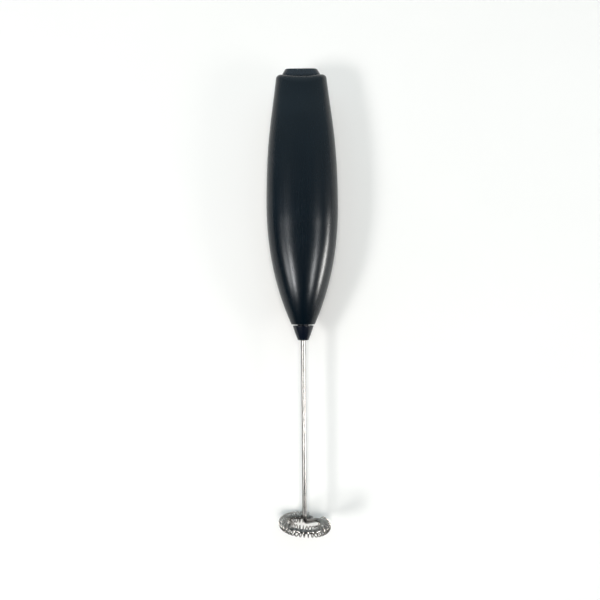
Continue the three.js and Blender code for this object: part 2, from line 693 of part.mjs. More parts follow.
function motorHousing() {
  const bushRadius = BUSH_DIAMETER / 2;
  const noseRadius = bushRadius + GAP + 0.6;
  const canTop = capEnd + GAP;
  const can = motorBlock(0, canTop, motorFront);
  const hollow = motorBlock(-MOTOR_WALL, canTop - 1, motorFront - MOTOR_WALL);
  const nose = rod(noseRadius, motorFront - MOTOR_WALL, motorFront + 1.5);
  const noseBore = rod(bushRadius + GAP, motorFront - 2, motorFront + 1.1);
  const shaftHole = rod(shaftRadius + GAP, motorFront - 2, motorFront + 3);
  add('motor_can', cut(join(cut(can, hollow), nose), noseBore, shaftHole), 'zinc');

  const plug = motorBlock(0, motorBack, capEnd);
  const slots = SIDES.map(([, side]) =>
    block(
      mirrored(side, tabOut - GAP, tabOut + BRUSH_THICKNESS + GAP),
      [motorBack - 1, capEnd + 1],
      [terminalZ[0] - GAP, terminalZ[1] + GAP],
    ),
  );
  const bushSeat = rod(bushRadius + GAP, motorBack - 1, capEnd + 1);
  add('motor_end_cap', cut(plug, bushSeat, ...slots), 'whitePlastic');
  const bush = (top) => pipe(shaftRadius + RUN, bushRadius, top, top + BUSH_LENGTH, { sides: 20 });
  add('motor_bush_rear', bush(capEnd - BUSH_LENGTH), 'bronze');
  add('motor_bush_front', bush(motorFront + 0.8 - BUSH_LENGTH), 'bronze');
}

const magnetOuter = motorRadius - MOTOR_WALL - GAP;
const magnetInner = magnetOuter - MAGNET_THICKNESS;
const magnetEdge = MOTOR_THICKNESS / 2 - MOTOR_WALL - 2 * GAP; // half the height between the can's flats
const magnetHalfAngle = THREE.MathUtils.radToDeg(Math.asin(magnetEdge / magnetOuter));
const rotorRadius = Math.min(magnetInner, MOTOR_THICKNESS / 2 - MOTOR_WALL) - AIR_GAP;

// A piece of ring about the motor's axis, between two radii, from -half to half degrees about a direction.
function ringPiece(inner, outer, halfAngle, direction, top, end) {
  const [start, stop] = [direction - halfAngle, direction + halfAngle].map(THREE.MathUtils.degToRad);
  const shape = new THREE.Shape();
  shape.absarc(0, 0, outer, start, stop, false);
  shape.absarc(0, 0, inner, stop, start, true);
  const geometry = new THREE.ExtrudeGeometry(shape, {
    depth: end - top,
    steps: 1,
    bevelEnabled: false,
    curveSegments: 8,
  });
  return solid(geometry.rotateX(Math.PI / 2).translate(0, -top, 0));
}

function magnets() {
  const top = rotorTop + (ROTOR_LENGTH - MAGNET_LENGTH) / 2;
  for (const [name, side] of SIDES) {
    const direction = side > 0 ? 0 : 180;
    const end = top + MAGNET_LENGTH;
    const magnet = ringPiece(magnetInner, magnetOuter, magnetHalfAngle, direction, top, end);
    add(`motor_magnet_${name}`, magnet, 'ferrite');
  }
}

function brushes() {
  const top = capEnd + GAP;
  const end = top + COMMUTATOR_LENGTH;
  for (const [name, side] of SIDES) {
    const armZ = [terminalZ[0], terminalZ[0] + BRUSH_THICKNESS];
    const leaf = block(mirrored(side, brushX, brushX + BRUSH_THICKNESS), [top, end], [terminalZ[0], 1.2]);
    const arm = block(mirrored(side, brushX, tabOut + BRUSH_THICKNESS), [top, end], armZ);
    const tabs = block(mirrored(side, tabOut, tabOut + BRUSH_THICKNESS), [motorBack - 1.6, end], terminalZ);
    add(`motor_brush_${name}`, join(leaf, arm, tabs), 'copper');
  }
}

function rotor() {
  const hubRadius = 2.2;
  const rotorEnd = rotorTop + ROTOR_LENGTH;
  const shoeInner = rotorRadius - 1.2;
  const armHalf = 0.9;
  const windingEnds = 1.5;
  const turn = (geometry, pole) => geometry.rotateY((-2 * Math.PI * pole) / ROTOR_POLES);
  // A block that stands out along +X before it is turned to its pole.
  const spoke = (pole, [from, to], [top, end], half) => {
    const geometry = new THREE.BoxGeometry(to - from, end - top, 2 * half);
    return solid(turn(geometry.translate((from + to) / 2, -(top + end) / 2, 0), pole));
  };
  let core = rod(hubRadius, rotorTop, rotorEnd);
  for (let pole = 0; pole < ROTOR_POLES; pole++) {
    const arm = spoke(pole, [hubRadius - 0.5, shoeInner + 0.4], [rotorTop, rotorEnd], armHalf);
    const shoe = ringPiece(shoeInner, rotorRadius, 48, (360 * pole) / ROTOR_POLES, rotorTop, rotorEnd);
    core = join(core, arm, shoe);
    const inner = hubRadius + GAP + 0.1;
    const outer = shoeInner - 0.9;
    const windingAlong = [rotorTop - windingEnds, rotorEnd + windingEnds];
    const winding = spoke(pole, [inner, outer], windingAlong, armHalf + WINDING_THICKNESS);
    const hole = spoke(pole, [inner - 1, outer + 1], [rotorTop - GAP, rotorEnd + GAP], armHalf + GAP);
    add(`rotor_winding_${pole + 1}`, cut(winding, hole), 'copper');
  }
  add('rotor_core', cut(core, rod(shaftRadius + GAP, rotorTop - 1, rotorEnd + 1)), 'zinc');
  const commutatorTop = capEnd + GAP;
  const commutatorEnd = commutatorTop + COMMUTATOR_LENGTH;
  add(
    'commutator',
    pipe(shaftRadius + GAP, COMMUTATOR_DIAMETER / 2, commutatorTop, commutatorEnd, { sides: 18 }),
    'copper',
  );
  const shaft = rod(shaftRadius, motorBack - 0.6, motorFront + MOTOR_SHAFT_REACH, { sides: 16 });
  add('motor_shaft', shaft, 'steel');
}

// The strap that holds the motor against the front shell, from behind.
function motorStrap() {
  const thick = STRAP_THICKNESS;
  const along = [strapSpot.below - STRAP_WIDTH / 2, strapSpot.below + STRAP_WIDTH / 2];
  const band = cut(motorBlock(GAP + thick, ...along), motorBlock(GAP, along[0] - 1, along[1] + 1));
  const rear = common(band, block([-FAR, FAR], along, [-FAR, 0]));
  const ears = SIDES.map(([, side]) => {
    const earX = mirrored(side, motorRadius + GAP + thick / 2, strapSpot.x + 0.9);
    return cut(block(earX, along, [-thick, 0]), screwHole(side * strapSpot.x, strapSpot.below));
  });
  add('motor_strap', join(rear, ...ears), 'zinc');
}

// ---------------------------------------------------------------- screws

function screwHole(x, below) {
  const radius = SCREW_DIAMETER / 2 + GAP;
  return upright([[0, -2], [radius, -2], [radius, 2], [0, 2]], x, below);
}

// A screw whose head bears on a face from behind, at a height faceZ.
function screw(x, below, faceZ) {
  const radius = SCREW_DIAMETER / 2;
  const headRadius = SCREW_HEAD_DIAMETER / 2;
  const seat = faceZ - 0.1;
  const head = seat - SCREW_HEAD_HEIGHT;
  const tip = faceZ + SCREW_GRIP;
  return upright(
    [
      [0, head],
      [headRadius * 0.7, head],
      [headRadius, head + SCREW_HEAD_HEIGHT * 0.45],
      [headRadius, seat],
      [radius, seat],
      [radius, tip - 0.7],
      [radius * 0.4, tip],
      [0, tip],
    ],
    x,
    below,
    14,
  );
}

function screws() {
  for (const [name, side] of SIDES) {
    add(`tray_screw_${name}`, screw(side * traySpot.x, traySpot.below, -1), 'zinc');
    add(`strap_screw_${name}`, screw(side * strapSpot.x, strapSpot.below, -STRAP_THICKNESS), 'zinc');
  }
}

// ---------------------------------------------------------------- leads

function leads() {
  const switchTip = switchEnd + TERMINAL_LENGTH + GAP + 0.2;
  const terminalX = 2.4;
  const wireBelow = motorBack - WIRE_SPACE / 2;
  const lastX = tabOut - GAP - leadRadius / 2;
  const terminalMid = (terminalZ[0] + terminalZ[1]) / 2;
  const toSwitch = [
    at(tabX[1] - 1, bulkheadTop - 2, tabZ[0] + 0.1),
    at(tabX[1] - 1.4, bulkheadTop - 2.7, -4.6),
    at(2.9, switchTip - 0.4, -2.6),
    at(terminalX, switchTip + 0.5, -0.5),
  ];
  add('battery_switch_lead', wire(smoothLine(toSwitch, 10), leadRadius, 6), 'red');
  const switchToMotor = [
    at(-terminalX, switchTip + 0.4, -0.5),
    at(-2, switchTip - 0.2, -2.4),
    at(-0.5, bulkheadTop - 0.9, -valleyZ + 0.2),
    at(0, bulkheadTop + 1, -valleyZ),
    at(0, cellsTop + CELL_LENGTH / 2, -valleyZ),
    at(0, lowerBulkheadTop, -valleyZ),
    at(0.5, wireBelow - 0.4, -valleyZ),
    at(2.4, wireBelow, -valleyZ),
    at(lastX, wireBelow, terminalMid),
  ];
  add('switch_motor_lead', wire(smoothLine(switchToMotor, 28), leadRadius, 6), 'red');
  const batteryToMotor = [
    at(-1.9, contactTop + CONTACT_THICKNESS + 0.3, valleyZ),
    at(-1.6, cellsTop + 1.2, valleyZ),
    at(0, cellsTop + 5, valleyZ),
    at(0, cellsTop + CELL_LENGTH / 2, valleyZ),
    at(0, lowerBulkheadTop, valleyZ),
    at(-0.5, wireBelow - 0.4, valleyZ - 0.2),
    at(-2.2, wireBelow, valleyZ - 1.6),
    at(-4.4, wireBelow, 0.4),
    at(-lastX, wireBelow, terminalMid),
  ];
  add('battery_motor_lead', wire(smoothLine(batteryToMotor, 30), leadRadius, 6), 'black');
}

// ---------------------------------------------------------------- whisk

const shaftTip = motorFront + MOTOR_SHAFT_REACH;
const rodTop = shaftTip + GAP + 0.8;

// The cone that turns with the whisk, and its neck that fits on the motor's shaft.
function whiskHub() {
  const neckTop = motorFront + 3;
  const bore = shaftRadius + RUN;
  const rodBore = ROD_DIAMETER / 2 + RUN;
  const topRadius = HUB_TOP_DIAMETER / 2;
  const tipRadius = HUB_TIP_DIAMETER / 2;
  const cone = [];
  const rows = 5;
  for (let i = 0; i <= rows; i++) {
    const share = i / rows;
    const swell = HUB_SWELL * Math.sin(Math.PI * share);
    const radius = THREE.MathUtils.lerp(topRadius, tipRadius, share) + swell;
    cone.push([radius, hubTop + share * (HUB_LENGTH - 0.8)]);
  }
  const profile = [
    [bore, neckTop],
    [neckRadius - 0.4, neckTop],
    [neckRadius, neckTop + 0.4],
    [neckRadius, hubTop],
    ...cone,
    [tipRadius - 0.25, hubTip - 0.25],
    [tipRadius - 0.8, hubTip],
    [rodBore, hubTip],
    [rodBore, rodTop - GAP],
    [0, rodTop - GAP],
    [0, shaftTip + GAP],
    [bore, shaftTip + GAP],
    [bore, neckTop],
  ];
  add('whisk_hub', turned(profile, { sides: 32 }), 'dark');
}

// A place on the tilted ring: out from the rod's axis, at an angle from +X towards +Z, and above the ring.
function onRing(radius, angle, above) {
  const tilt = THREE.MathUtils.degToRad(RING_TILT);
  const x = radius * Math.cos(angle);
  const across = x * Math.cos(tilt) + above * Math.sin(tilt);
  const below = ringBelow + x * Math.sin(tilt) - above * Math.cos(tilt);
  return at(across, below, radius * Math.sin(angle));
}

const armAngle = THREE.MathUtils.degToRad(ARM_ANGLE);
const bendAngle = BEND_RADIUS / ringRadius;

function whiskRod() {
  const bend = (from, corner, to, steps) =>
    new THREE.QuadraticBezierCurve3(from, corner, to).getPoints(steps);
  const elbow = at(0, ringBelow - ARM_RISE, 0);
  const armStart = onRing(BEND_RADIUS, armAngle, ARM_RISE * 0.8);
  const armEnd = onRing(ringRadius - BEND_RADIUS, armAngle, 0.15);
  const points = [
    at(0, rodTop, 0),
    at(0, hubTip + ROD_LENGTH / 2, 0),
    at(0, ringBelow - ARM_RISE - BEND_RADIUS - 1, 0),
    ...bend(at(0, ringBelow - ARM_RISE - BEND_RADIUS, 0), elbow, armStart, 5),
    ...bend(armEnd, onRing(ringRadius, armAngle, 0), onRing(ringRadius, armAngle + bendAngle, 0), 5),
  ];
  const ringSteps = 44;
  const span = 2 * Math.PI - bendAngle - ROD_END_GAP;
  for (let i = 1; i <= ringSteps; i++) {
    points.push(onRing(ringRadius, armAngle + bendAngle + (span * i) / ringSteps, 0));
  }
  add('whisk_rod', wire(points, ROD_DIAMETER / 2, 8), 'steel');
}

function whiskCoil() {
  const stepsPerTurn = 7;
  const steps = COIL_TURNS * stepsPerTurn;
  const middle = coilRadius - COIL_WIRE / 2;
  const start = armAngle + bendAngle + COIL_START;
  const span = 2 * Math.PI - bendAngle - COIL_START - COIL_END_GAP;
  const points = [];
  for (let i = 0; i <= steps; i++) {
    const around = (2 * Math.PI * i) / stepsPerTurn;
    const angle = start + (span * i) / steps;
    points.push(onRing(ringRadius + middle * Math.cos(around), angle, middle * Math.sin(around)));
  }
  add('whisk_coil', wire(points, COIL_WIRE / 2, 5), 'steel');
}

// ---------------------------------------------------------------- assembly

shells();
powerSwitch(buttonCap());
batteryTray();
cells();
contacts();
motorHousing();
magnets();
brushes();
rotor();
motorStrap();
screws();
leads();
whiskHub();
whiskRod();
whiskCoil();

// The origin is under the middle of the object, on the surface that it lies on.
const ringReach = ringRadius * Math.sin(THREE.MathUtils.degToRad(RING_TILT)) + coilRadius;
const objectEnd = ringBelow + ringReach;
const lyingHeight = Math.max(flatHeight, ringRadius + coilRadius);
handle.position.set(0, (objectEnd - BUTTON_RISE) / 2, lyingHeight);

export default frother;
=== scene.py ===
"""A battery milk frother lying on its back on a pale table.

Shapes are worked out in millimetres from the handle's rim: below is the distance from the rim towards
the whisk, x is across, and z is in front of the handle's axis. place() turns them into the row frame.
"""

import math

import bmesh
import bpy
import numpy as np
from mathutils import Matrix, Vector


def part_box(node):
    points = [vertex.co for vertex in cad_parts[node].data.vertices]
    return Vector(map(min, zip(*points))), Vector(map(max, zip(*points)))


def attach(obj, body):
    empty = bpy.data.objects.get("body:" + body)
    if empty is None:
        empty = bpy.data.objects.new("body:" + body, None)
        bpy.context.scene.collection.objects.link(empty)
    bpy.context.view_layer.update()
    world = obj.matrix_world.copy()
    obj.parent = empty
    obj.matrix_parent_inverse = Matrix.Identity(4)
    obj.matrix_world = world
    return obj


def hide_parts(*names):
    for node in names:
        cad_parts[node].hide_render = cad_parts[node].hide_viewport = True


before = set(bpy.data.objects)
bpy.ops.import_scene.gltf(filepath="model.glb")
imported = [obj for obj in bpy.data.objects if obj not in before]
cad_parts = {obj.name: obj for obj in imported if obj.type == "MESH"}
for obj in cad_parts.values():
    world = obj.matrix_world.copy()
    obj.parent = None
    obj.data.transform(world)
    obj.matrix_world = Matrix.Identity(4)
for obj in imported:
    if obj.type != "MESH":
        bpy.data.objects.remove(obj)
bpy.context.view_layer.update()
MM = 0.001

# ---------------------------------------------------------------- sizes from the frame


def box_mm(node):
    low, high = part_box(node)
    return np.array(low) / MM, np.array(high) / MM


shell_low, shell_high = box_mm("front_shell")
cover_low = box_mm("rear_cover")[0]
hub_low, hub_high = box_mm("whisk_hub")
button_high = box_mm("button_cap")[1]

RIM_Y = shell_high[1]
AXIS_Z = (hub_low[2] + hub_high[2]) / 2
HANDLE_LENGTH = RIM_Y - shell_low[1]
WIDEST_HALF = shell_high[0]
DEPTH_SHARE = (shell_high[2] - AXIS_Z) / WIDEST_HALF
FLAT_HEIGHT = AXIS_Z - cover_low[2]
BUTTON_RISE = button_high[1] - RIM_Y
HUB_TIP = RIM_Y - hub_low[1]
HUB_RADIUS = (hub_high[0] - hub_low[0]) / 2
MOTOR_BACK = RIM_Y - box_mm("motor_end_cap")[1][1]
CELLS_END = RIM_Y - box_mm("cell_left")[0][1]

# sizes that the frame's boxes don't give
WALL = 1.2
RIM_HALF = 12.5
CHEST_HALF = 14.61
SHOULDER_HALF = 7.31
END_HALF = 5.9
WIDEST_ABOVE_MOTOR = 17.8
WIDEST_BELOW = MOTOR_BACK - WIDEST_ABOVE_MOTOR
CHEST_BELOW = 20.2
WIDEST_EASE = 34  # how far the outline's curves run on along the widest part
END_EASE = 3.8
ROUNDING_ABOVE_CELLS_END = 3.6  # where the section starts to turn round
SECTION_POWER = 2.3
RIM_ROUND = 1.6
END_ROUND = 0.35
DOME_FLATNESS = 2.6
DOME_RADIUS = RIM_HALF * DEPTH_SHARE + DOME_FLATNESS
DOME_LENGTH = 24
COVER_TOP = 8.0
SPLIT_GAP = 0.22
SEAM_HALF = 0.09
NECK_HOLE = 3.2
BUTTON_HALF = 9.7
BUTTON_SHARE = 11.7 / 19.4
BUTTON_GAP = 0.28
BUTTON_BEVEL = 1.6  # how much narrower the button's top face is on each side
BUTTON_SIDE_RISE = 0.55  # its side reaches this far above the rim, leaning in by the next value
BUTTON_SIDE_LEAN = 0.16
BUTTON_TOP_WALL = 1.9
BUTTON_SIDE_WALL = 1.5
BUTTON_SKIRT = 3.4  # how far its side reaches below the rim
HUB_GAP = 0.65
HUB_SWELL = 0.1
NECK_RADIUS = 2.8
HUB_TIP_RADIUS = 2.95
HUB_TIP_LENGTH = 0.8  # from the cone's end to the tip
SHAFT_HOLE = 1.15
RING_RADIUS = 10.35
COIL_RADIUS = 3.0
COIL_WIRE = 0.6
COIL_TURNS = 31
COIL_INSET = 0.14  # keeps the coil in the frame's box
ROD_RADIUS = 1.1
ROD_HOLE = ROD_RADIUS + 0.02
ROD_HOLE_DEPTH = 3
ROD_LENGTH = 92.0
RING_TILT = math.radians(5)
ARM_ANGLE = math.radians(-52)
ARM_RISE = 1.0
BEND_RADIUS = 2.6
# radians: from the ring's free end to its arm, from the arm's bend to the coil, and all that the coil
# leaves free of the ring beyond that bend
RING_GAP = 0.3
COIL_START = 0.1
COIL_GAP = 0.42


def place(x, below, z):
    """Millimetres from the rim to metres in the row frame."""
    return (x * MM, (RIM_Y - below) * MM, (AXIS_Z + z) * MM)


# ---------------------------------------------------------------- the handle's outline


def bezier(controls, t):
    a, b, c, d = controls
    u = 1 - t
    return u**3 * a + 3 * u * u * t * b + 3 * u * t * t * c + t**3 * d


def outline_table():
    """The handle's half width at closely spaced distances below the rim."""
    t = np.linspace(0, 1, 400)
    upper = bezier((0, CHEST_BELOW, WIDEST_BELOW - WIDEST_EASE, WIDEST_BELOW), t)
    upper_half = bezier((RIM_HALF, CHEST_HALF, WIDEST_HALF, WIDEST_HALF), t)
    lower_controls = (WIDEST_BELOW, WIDEST_BELOW + WIDEST_EASE, HANDLE_LENGTH - END_EASE, HANDLE_LENGTH)
    lower = bezier(lower_controls, t)
    lower_half = bezier((WIDEST_HALF, WIDEST_HALF, SHOULDER_HALF, END_HALF), t)
    return np.concatenate([upper, lower[1:]]), np.concatenate([upper_half, lower_half[1:]])


OUTLINE = outline_table()


def smoothstep(value, low, high):
    t = np.clip((value - low) / (high - low), 0, 1)
    return t * t * (3 - 2 * t)


def half_width(below):
    return np.interp(below, *OUTLINE)


def rounding(below):
    return smoothstep(below, CELLS_END - ROUNDING_ABOVE_CELLS_END, HANDLE_LENGTH)


def depth_share(below):
    return DEPTH_SHARE + (1 - DEPTH_SHARE) * rounding(below)


def dome_drop(z, below):
    """How much lower a point of the domed top end lies than one on the axis."""
    across = np.minimum(np.abs(z), DOME_RADIUS - 1)
    drop = DOME_RADIUS - np.sqrt(DOME_RADIUS**2 - across**2)
    return drop * (1 - smoothstep(below, 0, DOME_LENGTH))


def reach(angle, power):
    """How far a rounded-square section reaches at an angle, where a circle reaches 1."""
    return (np.abs(np.cos(angle)) ** power + np.abs(np.sin(angle)) ** power) ** (-1 / power)


def on_handle(angle, below, inset=0.0):
    """x, below, z on the handle's surface, moved in by an inset."""
    power = SECTION_POWER + (2 - SECTION_POWER) * rounding(below)
    out = reach(angle, power)
    wide = half_width(below) - inset
    deep = half_width(below) * depth_share(below) - inset
    x = wide * out * np.cos(angle)
    z = deep * out * np.sin(angle)
    return x, below + dome_drop(z, below), np.maximum(z, -FLAT_HEIGHT)


# ---------------------------------------------------------------- mesh tools

SHARP_ANGLE = math.radians(38)


def new_object(name, verts, faces, material, body, slot=None, replaces=()):
    """A smooth-shaded mesh object that rides on a CAD body."""
    mesh = bpy.data.meshes.new(name)
    mesh.from_pydata([tuple(v) for v in verts], [], faces)
    mesh.validate()
    made = bpy.data.objects.new(name, mesh)
    bpy.context.scene.collection.objects.link(made)
    mesh.materials.append(material)
    tidy_normals(mesh)
    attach(made, body)
    if replaces:
        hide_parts(*replaces)
    return made


def tidy_normals(mesh):
    """Joins double points, turns the faces outwards and shades smooth up to SHARP_ANGLE."""
    work = bmesh.new()
    work.from_mesh(mesh)
    bmesh.ops.remove_doubles(work, verts=work.verts, dist=1e-7)
    bmesh.ops.recalc_face_normals(work, faces=work.faces)
    work.to_mesh(mesh)
    work.free()
    mesh.shade_smooth()
    mesh.set_sharp_from_angle(angle=SHARP_ANGLE)


def apply_modifiers(made):
    """Turns an object's modifiers into its mesh."""
    graph = bpy.context.evaluated_depsgraph_get()
    done = bpy.data.meshes.new_from_object(made.evaluated_get(graph))
    old = made.data
    made.modifiers.clear()
    made.data = done
    bpy.data.meshes.remove(old)
    tidy_normals(made.data)


def soften_edges(made, width, degrees):
    """Adds a bevel over the edges that are sharper than an angle."""
    bevel = made.modifiers.new("edges", "BEVEL")
    bevel.width = width * MM
    bevel.segments = 2
    bevel.limit_method = "ANGLE"
    bevel.angle_limit = math.radians(degrees)


def grid_faces(rows, columns, closed, keep=None):
    """Quads over a grid of rows and columns. keep(row, column) says whether a quad is wanted."""
    faces = []
    last = columns if closed else columns - 1
    for r in range(rows - 1):
        for c in range(last):
            if keep is None or keep(r, c):
                d = (c + 1) % columns
                faces.append((r * columns + c, r * columns + d, (r + 1) * columns + d, (r + 1) * columns + c))
    return faces


def turned(name, profile, material, body, columns=96, centre=(0.0, 0.0), section=None, **words):
    """A closed turned piece. The profile lists (radius, below) from the axis, round and back to it, or
    closes on itself. section(x, below, z) may reshape it."""
    closed_on_axis = profile[0][0] == 0
    angles = np.arange(columns) * 2 * math.pi / columns
    verts = []
    for radius, below in profile:
        for angle in angles:
            x, z = radius * math.cos(angle), radius * math.sin(angle)
            spot = (x, below, z) if section is None else section(x, below, z)
            verts.append(place(spot[0] + centre[0], spot[1], spot[2] + centre[1]))
    rows = len(profile)
    faces = grid_faces(rows, columns, True)
    if not closed_on_axis:
        faces += [
            (c + (rows - 1) * columns, (c + 1) % columns + (rows - 1) * columns, (c + 1) % columns, c)
            for c in range(columns)
        ]
    return new_object(name, verts, faces, material, body, **words)


def rounded(profile, radius=0.12, steps=3):
    """A profile of (radius, below) with its inner corners rounded a little."""
    points = [np.array(p, float) for p in profile]
    done = [points[0]]
    for before, corner, after in zip(points, points[1:], points[2:]):
        back, ahead = before - corner, after - corner
        reach_back = min(radius, np.linalg.norm(back) * 0.45)
        reach_on = min(radius, np.linalg.norm(ahead) * 0.45)
        start = corner + back / max(np.linalg.norm(back), 1e-9) * reach_back
        stop = corner + ahead / max(np.linalg.norm(ahead), 1e-9) * reach_on
        for i in range(steps + 1):
            t = i / steps
            done.append((1 - t) ** 2 * start + 2 * t * (1 - t) * corner + t * t * stop)
    done.append(points[-1])
    return [tuple(p) for p in done]


def wire(name, points, radius, material, body, sides=10, **words):
    """Round wire along points given as (x, below, z), with flat ends."""
    path = np.array([place(*p) for p in points])
    tangents = np.gradient(path, axis=0)
    tangents /= np.linalg.norm(tangents, axis=1)[:, None]
    normal = np.cross(tangents[0], (0.3, 0.2, 0.9))
    normal /= np.linalg.norm(normal)
    angles = np.arange(sides) * 2 * math.pi / sides
    rings = []
    for spot, tangent in zip(path, tangents):
        normal = normal - tangent * np.dot(normal, tangent)
        normal /= np.linalg.norm(normal)
        side = np.cross(tangent, normal)
        ring = spot + radius * MM * (np.outer(np.cos(angles), normal) + np.outer(np.sin(angles), side))
        rings.append(ring)
    verts = np.concatenate(rings)
    faces = grid_faces(len(path), sides, True)
    faces.append(tuple(range(sides))[::-1])
    faces.append(tuple(range(len(verts) - sides, len(verts))))
    return new_object(name, verts, faces, material, body, **words)


# ---------------------------------------------------------------- materials


class Nodes:
    """A material's node tree with short calls to make and join nodes."""

    def __init__(self, name):
        self.material = bpy.data.materials.new(name)
        self.material.use_nodes = True
        self.tree = self.material.node_tree
        self.shader = self.tree.nodes["Principled BSDF"]
        coords = self.add("ShaderNodeTexCoord")
        self.object_coords = coords.outputs["Object"]

    def add(self, kind, **values):
        node = self.tree.nodes.new(kind)
        for key, value in values.items():
            setattr(node, key, value)
        return node

    def link(self, source, target):
        self.tree.links.new(source, target)

    def mapped(self, scale):
        node = self.add("ShaderNodeMapping")
        node.inputs["Scale"].default_value = scale
        self.link(self.object_coords, node.inputs["Vector"])
        return node.outputs["Vector"]

    def noise(self, scale, detail=3.0, stretch=(1, 1, 1), roughness=0.55):
        node = self.add("ShaderNodeTexNoise")
        node.inputs["Scale"].default_value = scale
        node.inputs["Detail"].default_value = detail
        node.inputs["Roughness"].default_value = roughness
        self.link(self.mapped(stretch), node.inputs["Vector"])
        return node.outputs["Fac"]

    def ramp(self, source, low, high, start=0.3, stop=0.7):
        """source from start to stop becomes low to high: numbers or colours."""
        if isinstance(low, tuple):
            node = self.add("ShaderNodeValToRGB")
            node.color_ramp.elements[0].position = start
            node.color_ramp.elements[1].position = stop
            node.color_ramp.elements[0].color = (*low, 1)
            node.color_ramp.elements[1].color = (*high, 1)
            self.link(source, node.inputs["Fac"])
            return node.outputs["Color"]
        node = self.add("ShaderNodeMapRange")
        for key, value in (("From Min", start), ("From Max", stop), ("To Min", low), ("To Max", high)):
            node.inputs[key].default_value = value
        self.link(source, node.inputs["Value"])
        return node.outputs["Result"]

    def combine(self, first, second, operation="ADD"):
        """A sum, or another operation, of two sockets or numbers."""
        node = self.add("ShaderNodeMath", operation=operation)
        for index, value in enumerate((first, second)):
            if isinstance(value, (int, float)):
                node.inputs[index].default_value = value
            else:
                self.link(value, node.inputs[index])
        return node.outputs["Value"]

    def mix(self, factor, first, second):
        node = self.add("ShaderNodeMix", data_type="RGBA")
        self.link(factor, node.inputs["Factor"])
        for name, value in (("A", first), ("B", second)):
            socket = [s for s in node.inputs if s.name == name and s.type == "RGBA"][0]
            if isinstance(value, tuple):
                socket.default_value = (*value, 1)
            else:
                self.link(value, socket)
        return [s for s in node.outputs if s.type == "RGBA"][0]

    def bump(self, height, strength, distance):
        node = self.add("ShaderNodeBump")
        node.inputs["Strength"].default_value = strength
        node.inputs["Distance"].default_value = distance
        self.link(height, node.inputs["Height"])
        if self.shader.inputs["Normal"].links:
            self.link(self.shader.inputs["Normal"].links[0].from_socket, node.inputs["Normal"])
        self.link(node.outputs["Normal"], self.shader.inputs["Normal"])

    def set(self, **values):
        for key, value in values.items():
            socket = self.shader.inputs[key.replace("_", " ")]
            if hasattr(value, "is_output"):
                self.link(value, socket)
            else:
                socket.default_value = value


def moulded_plastic(name, dark, light, roughness, grain=5200, grain_height=0.000002, specular=0.5):
    """Injection-moulded plastic: fine spark-eroded grain, slow tone changes, faint rubbed streaks."""
    n = Nodes(name)
    tone = n.ramp(n.noise(38, 2), dark, light)
    streaks = n.noise(900, 4, (1, 0.06, 1))
    rubbed = n.ramp(streaks, -0.012, 0.02, 0.35, 0.75)
    broad = n.ramp(n.noise(55, 3), roughness - 0.012, roughness + 0.014)
    n.set(Base_Color=tone, Roughness=n.combine(broad, rubbed))
    n.shader.inputs["Specular IOR Level"].default_value = specular
    n.bump(n.noise(grain, 2), 0.2, grain_height)
    n.bump(n.noise(130, 1), 0.02, 0.00004)
    return n.material


def metal(
    name, dark, light, roughness, along=(1, 0.03, 1), scratch_scale=2600, height=0.000004, uneven=0.07
):
    """Bright metal with fine drawing or brushing marks along one direction."""
    n = Nodes(name)
    marks = n.noise(scratch_scale, 4, along)
    tone = n.ramp(n.noise(160, 3), dark, light)
    broad = n.ramp(n.noise(240, 2), -uneven / 3, uneven / 3)
    rough = n.combine(n.ramp(marks, roughness - uneven, roughness + uneven), broad)
    n.set(Base_Color=tone, Roughness=rough)
    n.shader.inputs["Metallic"].default_value = 1.0
    n.bump(marks, 0.3, height)
    return n.material


def cast_block(name, dark, light, roughness, metallic=0.0, scale=1500, height=0.00003):
    """A grainy pressed or sintered surface."""
    n = Nodes(name)
    grain = n.noise(scale, 5, roughness=0.7)
    tone = n.ramp(grain, dark, light)
    n.set(Base_Color=tone, Roughness=n.ramp(n.noise(300, 3), roughness - 0.08, roughness + 0.08))
    n.shader.inputs["Metallic"].default_value = metallic
    n.bump(grain, 0.5, height)
    return n.material


def winding_copper(name):
    """Enamelled wire laid side by side."""
    n = Nodes(name)
    turns = n.add("ShaderNodeTexWave", wave_type="BANDS", bands_direction="DIAGONAL")
    turns.inputs["Scale"].default_value = 900
    turns.inputs["Distortion"].default_value = 1.5
    n.link(n.object_coords, turns.inputs["Vector"])
    lines = turns.outputs["Fac"]
    n.set(Base_Color=n.ramp(lines, (0.2, 0.055, 0.02), (0.62, 0.24, 0.1)), Roughness=0.32)
    n.shader.inputs["Metallic"].default_value = 0.85
    n.bump(lines, 0.8, 0.0001)
    return n.material


# metres from a cell's tip: where its copper band ends, and the pale line after it
BAND_EDGE = (0.0150, 0.0152)
LINE_EDGE = (0.0162, 0.0163)


def cell_wrap(name, tip_y, way):
    """A cell's film, without print: a dark body and a copper-coloured band at the positive end."""
    n = Nodes(name)
    split = n.add("ShaderNodeSeparateXYZ")
    n.link(n.object_coords, split.inputs["Vector"])
    from_tip = n.combine(n.combine(split.outputs["Y"], tip_y * MM, "SUBTRACT"), -way, "MULTIPLY")
    band = n.ramp(from_tip, 0.0, 1.0, *BAND_EDGE)
    line = n.ramp(from_tip, 0.0, 1.0, *LINE_EDGE)
    film = n.ramp(n.noise(120, 3), (0.016, 0.02, 0.024), (0.026, 0.032, 0.038))
    copper = n.ramp(n.noise(260, 3), (0.42, 0.2, 0.1), (0.5, 0.26, 0.14))
    stripe = n.mix(line, (0.62, 0.6, 0.55), film)
    n.set(Base_Color=n.mix(band, copper, stripe), Roughness=n.ramp(n.noise(420, 3), 0.22, 0.34))
    n.shader.inputs["Coat Weight"].default_value = 0.4
    n.shader.inputs["Coat Roughness"].default_value = 0.15
    n.bump(n.noise(700, 3), 0.25, 0.00001)
    return n.material


